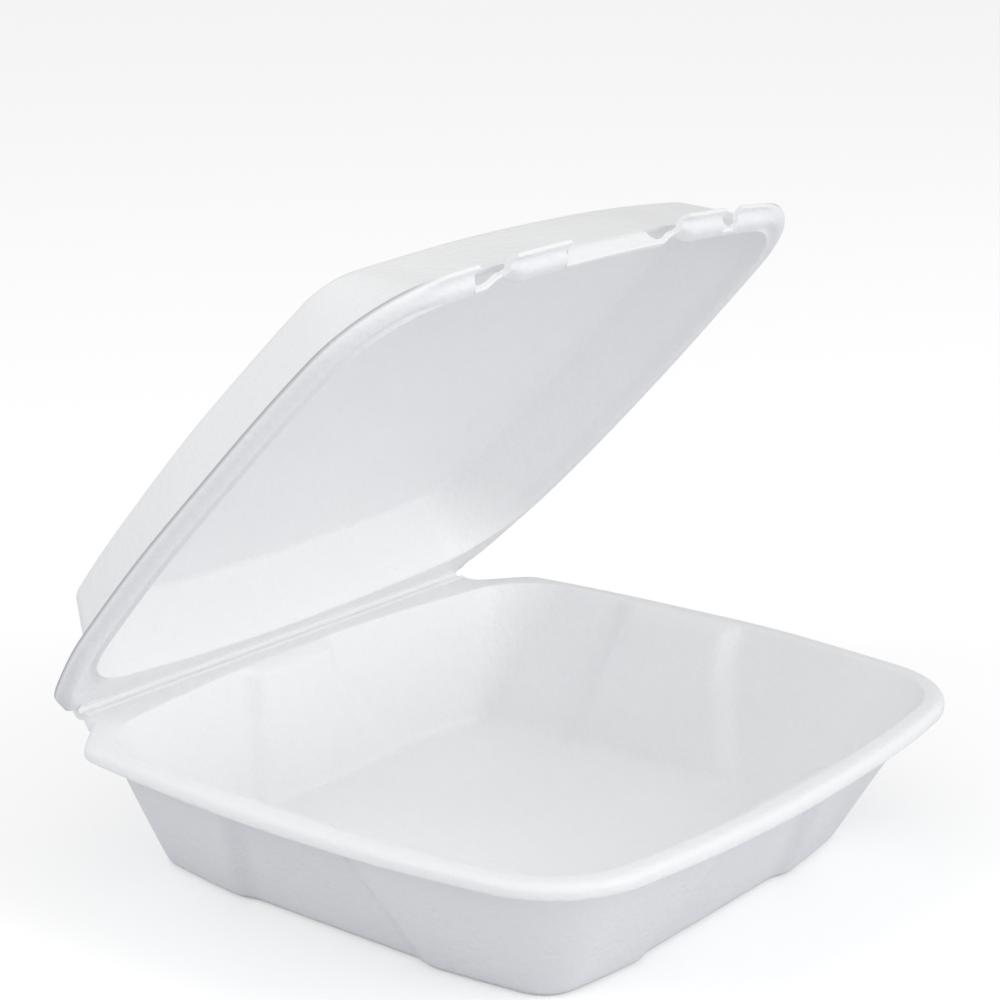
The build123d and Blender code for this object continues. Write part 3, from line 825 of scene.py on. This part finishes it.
def web_profile():
    """Outline of the hinge web in the open pose, as points across the hinge, in millimetres.

    The upper side lies on the tray's flange, rises to a small ridge, dips into the crease and climbs
    over a second ridge onto the lid's flange. The lower side follows behind the crease.
    """
    upper = [(90.6, 48.7), (91.6, 49.03), (92.3, 49.1), (93.0, 49.42), (93.6, 49.45), (94.2, 49.1),
             (95.0, 48.75), (95.8, 48.8), (96.25, 49.3), (96.3, 49.9), swung(2.9, 2.78), swung(3.5, 2.7),
             swung(4.2, 3.02), swung(5.0, 3.07), swung(6.0, 3.4)]
    lower = [swung(5.2, 4.3), swung(3.6, 4.8), swung(2.0, 5.0), (99.2, 49.9), (99.3, 48.6), (98.2, 47.2),
             (96.6, 46.5), (94.9, 46.7), (92.9, 47.3), (91.2, 48.0)]
    return np.array(upper + lower)


def web_mesh():
    """Mesh of the hinge web: its outline carried across the tray, drawn in a little at both ends.

    The outline is a Catmull-Rom curve through its corners p: between p1 and p2, at the share s, it is half
    of 2 p1 + (p2 - p0) s + (2 p0 - 5 p1 + 4 p2 - p3) s^2 + (3 p1 - p0 - 3 p2 + p3) s^3.
    """
    corners = web_profile()
    count = len(corners)
    t = np.arange(0, count, 0.25)
    k = t.astype(int)
    s = (t - k)[:, None]
    p0, p1, p2, p3 = (corners[(k + d) % count] for d in (-1, 0, 1, 2))
    outline = 0.5 * (2 * p1 + (p2 - p0) * s + (2 * p0 - 5 * p1 + 4 * p2 - p3) * s ** 2
                     + (3 * p1 - p0 - 3 * p2 + p3) * s ** 3)
    x = np.linspace(-HINGE_HALF, HINGE_HALF, 92)
    middle = outline.mean(0)
    shrink = 1 - 0.12 * np.clip(1 - (HINGE_HALF - np.abs(x)) / 1.5, 0, 1) ** 2
    level = middle + (outline - middle) * shrink[:, None, None]
    points = np.concatenate([np.broadcast_to(x[:, None, None], (*level.shape[:2], 1)), level], 2)
    rows, n = points.shape[:2]
    r, c = np.meshgrid(np.arange(rows - 1), np.arange(n), indexing="ij")
    after = (c + 1) % n
    quads = np.stack([r * n + c, r * n + after, (r + 1) * n + after, (r + 1) * n + c], -1).reshape(-1, 4)
    caps = [list(range(n))[::-1], list(range((rows - 1) * n, rows * n))]
    mesh = bpy.data.meshes.new("hinge_web")
    mesh.from_pydata((points.reshape(-1, 3) * 0.001).tolist(), [], [*quads.tolist(), *caps])
    mesh.polygons.foreach_set("use_smooth", np.ones(len(mesh.polygons), bool))
    mesh.set_sharp_from_angle(angle=np.radians(50))
    return mesh


class CLAMSHELL_OT_web(bpy.types.Operator):
    """Draws the hinge web that joins the lid to the tray"""

    bl_idname = "clamshell.web"
    bl_label = "Hinge web"

    def execute(self, context):
        piece = place_piece(context, "hinge_web", web_mesh(), foam(context))
        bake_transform(piece)
        return {"FINISHED"}


def area_light(context, name, place, aim, size, energy):
    """Round area light at a place, turned towards the point that it is aimed at."""
    data = bpy.data.lights.new(name, "AREA")
    data.shape = "DISK"
    data.size = size
    data.energy = energy
    light = bpy.data.objects.new(name, data)
    light.location = place
    light.rotation_euler = (Vector(aim) - Vector(place)).to_track_quat("-Z", "Y").to_euler()
    context.collection.objects.link(light)


def floor_material(studio):
    """Matt floor that is near white for the camera and throws back a cooler, darker light."""
    material = bpy.data.materials.new("floor")
    material.use_nodes = True
    tree = material.node_tree
    shader = tree.nodes["Principled BSDF"]
    seen = tree.nodes.new("ShaderNodeLightPath").outputs["Is Camera Ray"]
    tree.links.new(colour_mix(tree, seen, studio.bounce, studio.floor), shader.inputs["Base Color"])
    tree.links.new(product(tree, seen, studio.glow), shader.inputs["Emission Strength"])
    shader.inputs["Emission Color"].default_value = (1, 1, 1, 1)
    shader.inputs["Roughness"].default_value = 0.9
    shader.inputs["Specular IOR Level"].default_value = 0.0
    return material


def camera_object():
    """Camera at the photograph's place, looking along its yaw and pitch."""
    data = bpy.data.cameras.new("camera")
    data.lens = CAMERA_LENS
    data.sensor_width = CAMERA_SENSOR
    data.shift_x, data.shift_y = CAMERA_SHIFT
    camera = bpy.data.objects.new("camera", data)
    camera.location = CAMERA_PLACE
    ahead = Vector((np.sin(CAMERA_YAW) * np.cos(CAMERA_PITCH), np.cos(CAMERA_YAW) * np.cos(CAMERA_PITCH),
                    -np.sin(CAMERA_PITCH)))
    camera.rotation_mode = "QUATERNION"
    turned = ahead.to_track_quat("-Z", "Y").to_matrix() @ Matrix.Rotation(CAMERA_ROLL, 3, "Z")
    camera.rotation_quaternion = turned.to_quaternion()
    return camera


def sky(studio):
    """Soft white sky whose strength goes from the horizon's to that overhead, dimmer behind the right."""
    world = bpy.data.worlds.new("studio")
    world.use_nodes = True
    tree = world.node_tree
    way = tree.nodes.new("ShaderNodeTexCoord").outputs["Generated"]
    split = tree.nodes.new("ShaderNodeSeparateXYZ")
    tree.links.new(way, split.inputs["Vector"])
    height = map_range(tree, split.outputs["Z"], (0.0, 1.0), (studio.horizon, studio.overhead))
    side = tree.nodes.new("ShaderNodeVectorMath")
    side.operation = "DOT_PRODUCT"
    side.inputs[1].default_value = (0.85, 0.53, 0.0)
    tree.links.new(way, side.inputs[0])
    dim = map_range(tree, side.outputs["Value"], (0.1, 1.0), (1.0, studio.dim))
    dim.interpolation_type = "SMOOTHSTEP"
    shader = tree.nodes["Background"]
    strength = product(tree, height.outputs["Result"], dim.outputs["Result"])
    tree.links.new(strength, shader.inputs["Strength"])
    shader.inputs["Color"].default_value = (1, 1, 1, 1)
    return world


class CLAMSHELL_OT_studio(bpy.types.Operator):
    """Sets the floor, the sky, the lights and the camera"""

    bl_idname = "clamshell.studio"
    bl_label = "Studio"

    def execute(self, context):
        studio = context.scene.clamshell_studio
        mesh = bpy.data.meshes.new("floor")
        corners = [(x * FLOOR_REACH, y * FLOOR_REACH, 0) for x, y in ((-1, -1), (1, -1), (1, 1), (-1, 1))]
        mesh.from_pydata(corners, [], [(0, 1, 2, 3)])
        floor = place_piece(context, "floor", mesh, floor_material(studio))

        camera = camera_object()
        context.collection.objects.link(camera)
        context.scene.camera = camera
        context.scene.world = sky(studio)
        area_light(context, "key", (0.5, -1.6, 1.2), (0, 0, 0.08), 0.9, studio.key)
        area_light(context, "front", (0.3, -2.0, 0.3), (0, 0, 0.08), 0.7, studio.front_light)
        area_light(context, "side", (-1.5, 0.5, 1.2), (0, 0, 0.1), 0.7, studio.side_light)
        context.scene.view_settings.view_transform = "Standard"
        return {"FINISHED"}


class CLAMSHELL_PT_panel(bpy.types.Panel):
    """The container's settings and its steps."""

    bl_idname = "CLAMSHELL_PT_panel"
    bl_label = "Clamshell"
    bl_space_type = "VIEW_3D"
    bl_region_type = "UI"
    bl_category = "Clamshell"

    def draw(self, context):
        for name in SETTINGS:
            settings = getattr(context.scene, name)
            box = self.layout.box()
            for key in settings.bl_rna.properties.keys():
                if key not in ("rna_type", "name"):
                    box.prop(settings, key)
        for step in STEPS:
            self.layout.operator(step.bl_idname)


SETTINGS = {"clamshell_foam": FoamSettings, "clamshell_moulding": MouldingSettings,
            "clamshell_studio": StudioSettings}
STEPS = (CLAMSHELL_OT_tray, CLAMSHELL_OT_lid, CLAMSHELL_OT_web, CLAMSHELL_OT_studio)
CLASSES = (*SETTINGS.values(), *STEPS, CLAMSHELL_PT_panel)


def register():
    for cls in CLASSES:
        bpy.utils.register_class(cls)
    for name, settings in SETTINGS.items():
        setattr(bpy.types.Scene, name, PointerProperty(type=settings))


def unregister():
    for name in SETTINGS:
        delattr(bpy.types.Scene, name)
    for cls in reversed(CLASSES):
        bpy.utils.unregister_class(cls)


def main():
    register()
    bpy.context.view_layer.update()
    bpy.ops.clamshell.tray()
    bpy.ops.clamshell.lid()
    bpy.ops.clamshell.web()
    bpy.ops.clamshell.studio()


if __name__ == "__main__":
    main()
